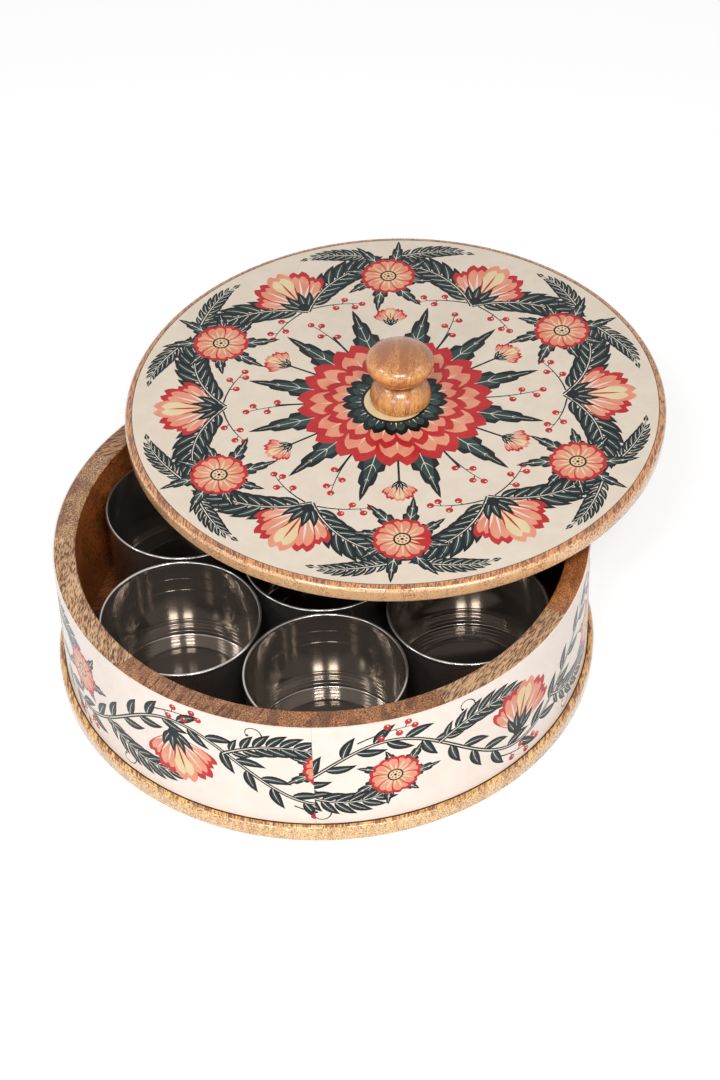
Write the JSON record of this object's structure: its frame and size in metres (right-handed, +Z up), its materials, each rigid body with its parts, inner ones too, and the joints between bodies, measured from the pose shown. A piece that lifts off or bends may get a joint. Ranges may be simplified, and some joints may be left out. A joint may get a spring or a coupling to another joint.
{
  "type": "spice box",
  "caption": "Round wooden spice box with loose steel cups in a segmented wall ring; its printed lid with a turned knob lies askew on the rim.",
  "frame": {"origin": "centre of the base board's underside", "axes": "+Z up the box's axis; -Y towards the front, where the cups show; the lid lies towards +Y"},
  "size_m": [0.2831, 0.3167, 0.1136],
  "materials": {
    "wall_wood_1": "waxed",
    "wall_wood_2": "waxed",
    "wall_wood_3": "waxed",
    "wall_wood_4": "waxed",
    "wall_wood_5": "waxed",
    "wall_wood_6": "waxed",
    "wall_wood_7": "waxed",
    "wall_wood_8": "waxed",
    "wall_wood_9": "waxed",
    "wall_wood_10": "waxed",
    "base_wood": "waxed",
    "lid_wood": "varnished",
    "disc_wood": "waxed",
    "knob_wood": "varnished",
    "wall_print": "glossy printed skin",
    "lid_print": "glossy resin over a print",
    "cup_steel": "polished",
    "screw_steel": "plain"
  },
  "bodies": {
    "box": {"base_board": "base_wood", "wall_segment_1": "wall_wood_1", "wall_segment_2": "wall_wood_2", "wall_segment_3": "wall_wood_3", "wall_segment_4": "wall_wood_4", "wall_segment_5": "wall_wood_5", "wall_segment_6": "wall_wood_6", "wall_segment_7": "wall_wood_7", "wall_segment_8": "wall_wood_8", "wall_segment_9": "wall_wood_9", "wall_segment_10": "wall_wood_10", "print_band": "wall_print"},
    "lid": {"lid_board": "lid_wood", "lid_print": "lid_print", "lid_locating_disc": "disc_wood", "lid_knob": "knob_wood", "knob_screw": "screw_steel"},
    "cup_centre_body": {"cup_centre": "cup_steel"},
    "cup_1_body": {"cup_1": "cup_steel"},
    "cup_2_body": {"cup_2": "cup_steel"},
    "cup_3_body": {"cup_3": "cup_steel"},
    "cup_4_body": {"cup_4": "cup_steel"},
    "cup_5_body": {"cup_5": "cup_steel"},
    "cup_6_body": {"cup_6": "cup_steel"}
  },
  "joints": [
    {"name": "lid_lift", "type": "slide", "parent": "box", "child": "lid", "axis": [0, 0, 1], "range_m": [0, 0.16]},
    {"name": "cup_centre_lift", "type": "slide", "parent": "box", "child": "cup_centre_body", "axis": [0, 0, 1], "range_m": [0, 0.0725]},
    {"name": "cup_1_lift", "type": "slide", "parent": "box", "child": "cup_1_body", "axis": [0, 0, 1], "range_m": [0, 0.0725]},
    {"name": "cup_2_lift", "type": "slide", "parent": "box", "child": "cup_2_body", "axis": [0, 0, 1], "range_m": [0, 0.0725]},
    {"name": "cup_3_lift", "type": "slide", "parent": "box", "child": "cup_3_body", "axis": [0, 0, 1], "range_m": [0, 0.0725]},
    {"name": "cup_4_lift", "type": "slide", "parent": "box", "child": "cup_4_body", "axis": [0, 0, 1], "range_m": [0, 0.0725]},
    {"name": "cup_5_lift", "type": "slide", "parent": "box", "child": "cup_5_body", "axis": [0, 0, 1], "range_m": [0, 0.0725]},
    {"name": "cup_6_lift", "type": "slide", "parent": "box", "child": "cup_6_body", "axis": [0, 0, 1], "range_m": [0, 0.0725]}
  ],
  "couplings": [
    {"joint": "cup_centre_lift", "follows": "lid_lift", "ratio": 0.45},
    {"joint": "cup_1_lift", "follows": "lid_lift", "ratio": 0.45},
    {"joint": "cup_2_lift", "follows": "lid_lift", "ratio": 0.45},
    {"joint": "cup_3_lift", "follows": "lid_lift", "ratio": 0.45},
    {"joint": "cup_4_lift", "follows": "lid_lift", "ratio": 0.45},
    {"joint": "cup_5_lift", "follows": "lid_lift", "ratio": 0.45},
    {"joint": "cup_6_lift", "follows": "lid_lift", "ratio": 0.45}
  ]
}
